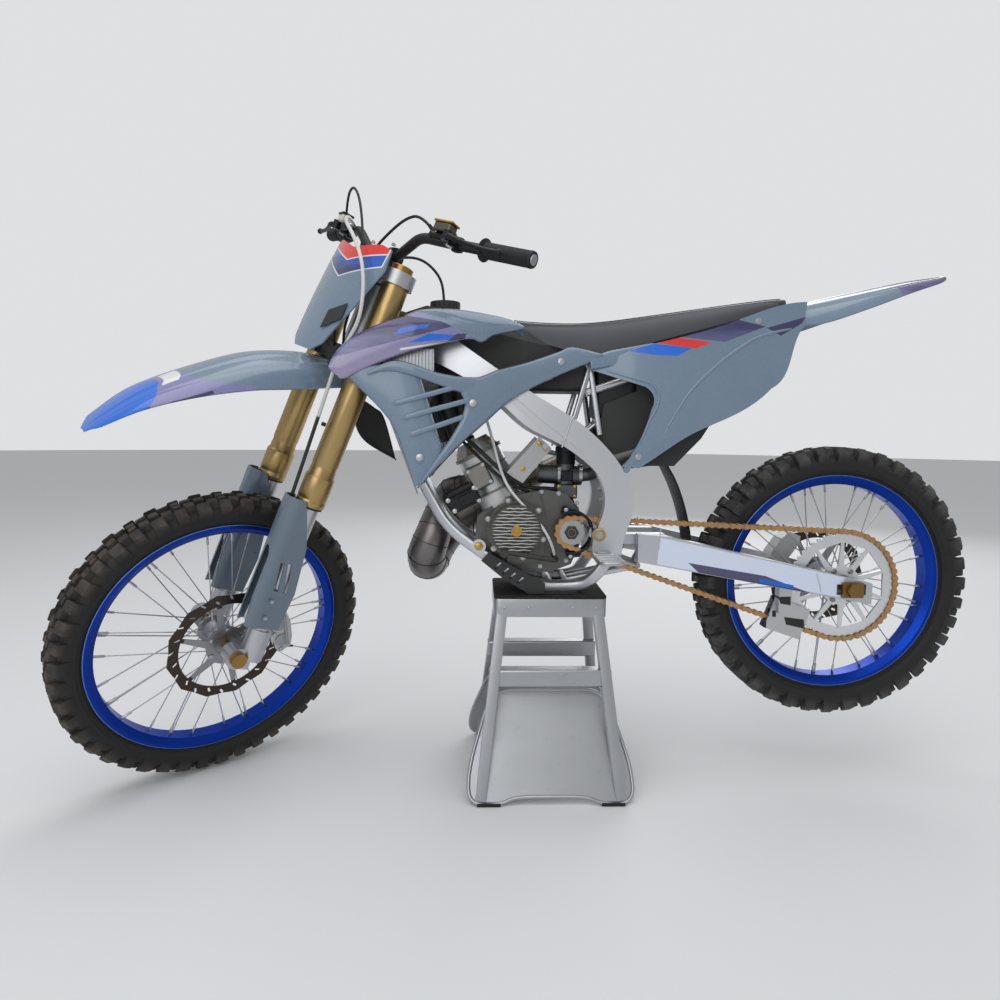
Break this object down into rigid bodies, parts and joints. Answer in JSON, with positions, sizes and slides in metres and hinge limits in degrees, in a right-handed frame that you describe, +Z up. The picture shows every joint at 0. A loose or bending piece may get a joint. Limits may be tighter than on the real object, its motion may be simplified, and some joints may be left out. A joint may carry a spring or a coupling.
{
  "type": "dirt bike on a paddock stand",
  "caption": "Motocross bike with knobbly tyres, twin-beam frame and slate plastics, resting on a step-type paddock stand, front wheel turned to its left lock.",
  "frame": {"origin": "on the floor, under the middle of the paddock stand, in the bike's mid-plane", "axes": "+X forward, +Y to the rider's left, +Z up"},
  "size_m": [2.0554, 0.6781, 1.3924],
  "materials": {
    "bar_black": "satin black",
    "black_plastic": "moulded",
    "blue_rim": "blue anodised",
    "cast_alloy": "cast, satin",
    "chain_steel": "rusty tan",
    "clamp_black": "satin black",
    "clamp_silver": "satin",
    "control_black": "satin black and silver",
    "disc_steel": "black carrier, steel band",
    "fork_gold": "gold anodised",
    "frame_alloy": "satin brushed",
    "gold_steel": "gold anodised",
    "hose_black": "smooth",
    "hose_white": "smooth",
    "hub_alloy": "machined",
    "pipe_steel": "bare heat-tinted steel",
    "radiator_alloy": "finned",
    "rubber_black": "moulded rubber",
    "seat_cover": "grained vinyl",
    "silencer_alloy": "brushed",
    "slate_plastic": "glossy slate blue-grey",
    "sprocket_alloy": "machined",
    "stand_alloy": "brushed",
    "steel": "satin steel",
    "tyre_rubber": "matt knobbly rubber"
  },
  "bodies": {
    "chassis": {"airbox": "black_plastic", "brake_pedal": "steel", "carburettor": "cast_alloy", "chain": "chain_steel", "chain_guide": "black_plastic", "cradle": "frame_alloy", "cylinder": "cast_alloy", "engine_cases": "cast_alloy", "engine_hoses": "hose_white", "exhaust_pipe": "pipe_steel", "footpegs": "steel", "frame_beams": "frame_alloy", "front_sprocket": "steel", "fuel_tank": "black_plastic", "gear_lever": "steel", "head_stays": "steel", "linkage": "frame_alloy", "pivot_bolt": "steel", "radiators": "radiator_alloy", "rear_axle": "gold_steel", "rear_calliper": "cast_alloy", "rear_fender": "slate_plastic", "seat": "seat_cover", "shock": "steel", "shrouds": "slate_plastic", "side_panels": "slate_plastic", "silencer": "silencer_alloy", "skid_plate": "black_plastic", "stand": "stand_alloy", "stand_mat": "rubber_black", "subframe": "frame_alloy", "swingarm": "frame_alloy"},
    "steering": {"fork_outers": "fork_gold", "fork_lowers": "cast_alloy", "lower_clamp": "clamp_black", "upper_clamp": "clamp_silver", "handlebar": "bar_black", "grips": "rubber_black", "clutch_control": "control_black", "throttle_control": "control_black", "number_plate": "slate_plastic", "front_fender": "slate_plastic", "fork_guards": "slate_plastic", "front_axle": "gold_steel", "front_calliper": "cast_alloy", "front_brake_hose": "hose_white", "control_cables": "hose_black"},
    "front_wheel": {"front_tyre": "tyre_rubber", "front_rim": "blue_rim", "front_hub": "hub_alloy", "front_disc": "disc_steel"},
    "rear_wheel": {"rear_tyre": "tyre_rubber", "rear_rim": "blue_rim", "rear_hub": "hub_alloy", "rear_disc": "disc_steel", "rear_sprocket": "sprocket_alloy"}
  },
  "joints": [
    {"name": "steering", "type": "hinge", "parent": "chassis", "child": "steering", "pos_m": [0.72761, 0, 0.32493], "axis": [-0.3762, 0, 0.9265], "range_deg": [-84, 0]},
    {"name": "front_wheel_spin", "type": "hinge", "parent": "steering", "child": "front_wheel", "pos_m": [0.76617, 0.03747, 0.34059], "axis": [-0.62, 0.7431, -0.2517], "continuous": true},
    {"name": "rear_wheel_spin", "type": "hinge", "parent": "chassis", "child": "rear_wheel", "pos_m": [-0.6815, 0, 0.468], "axis": [0, 1, 0], "continuous": true}
  ]
}
